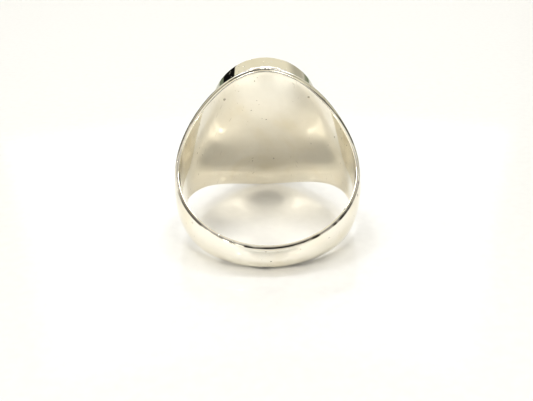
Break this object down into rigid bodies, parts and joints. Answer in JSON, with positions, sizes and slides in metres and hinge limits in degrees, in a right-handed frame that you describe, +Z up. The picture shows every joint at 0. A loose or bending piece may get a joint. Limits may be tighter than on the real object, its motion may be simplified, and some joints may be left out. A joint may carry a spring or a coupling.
{
  "type": "signet ring",
  "caption": "Closed-back signet ring: a narrow domed shank flares into a tall oval head with a straight bezel that holds a low-domed stone.",
  "frame": {"origin": "On the surface the ring lies on, under the middle of its box. The ring lies on its side, as it rests by itself.", "axes": "+Z up from the surface, +Y from the shank towards the head, +X across the ring. The finger hole's axis leans 20.6 degrees from +Z towards -Y."},
  "size_m": [0.021, 0.0255, 0.0179],
  "materials": {
    "polished_silver": "polished",
    "silver_solder": "polished",
    "green_stone": "polished",
    "cement": "matte"
  },
  "bodies": {
    "root": {"band": "polished_silver", "bezel": "polished_silver", "stone_bearing": "polished_silver", "bezel_solder": "silver_solder", "stone": "green_stone", "stone_cement": "cement"}
  },
  "joints": []
}
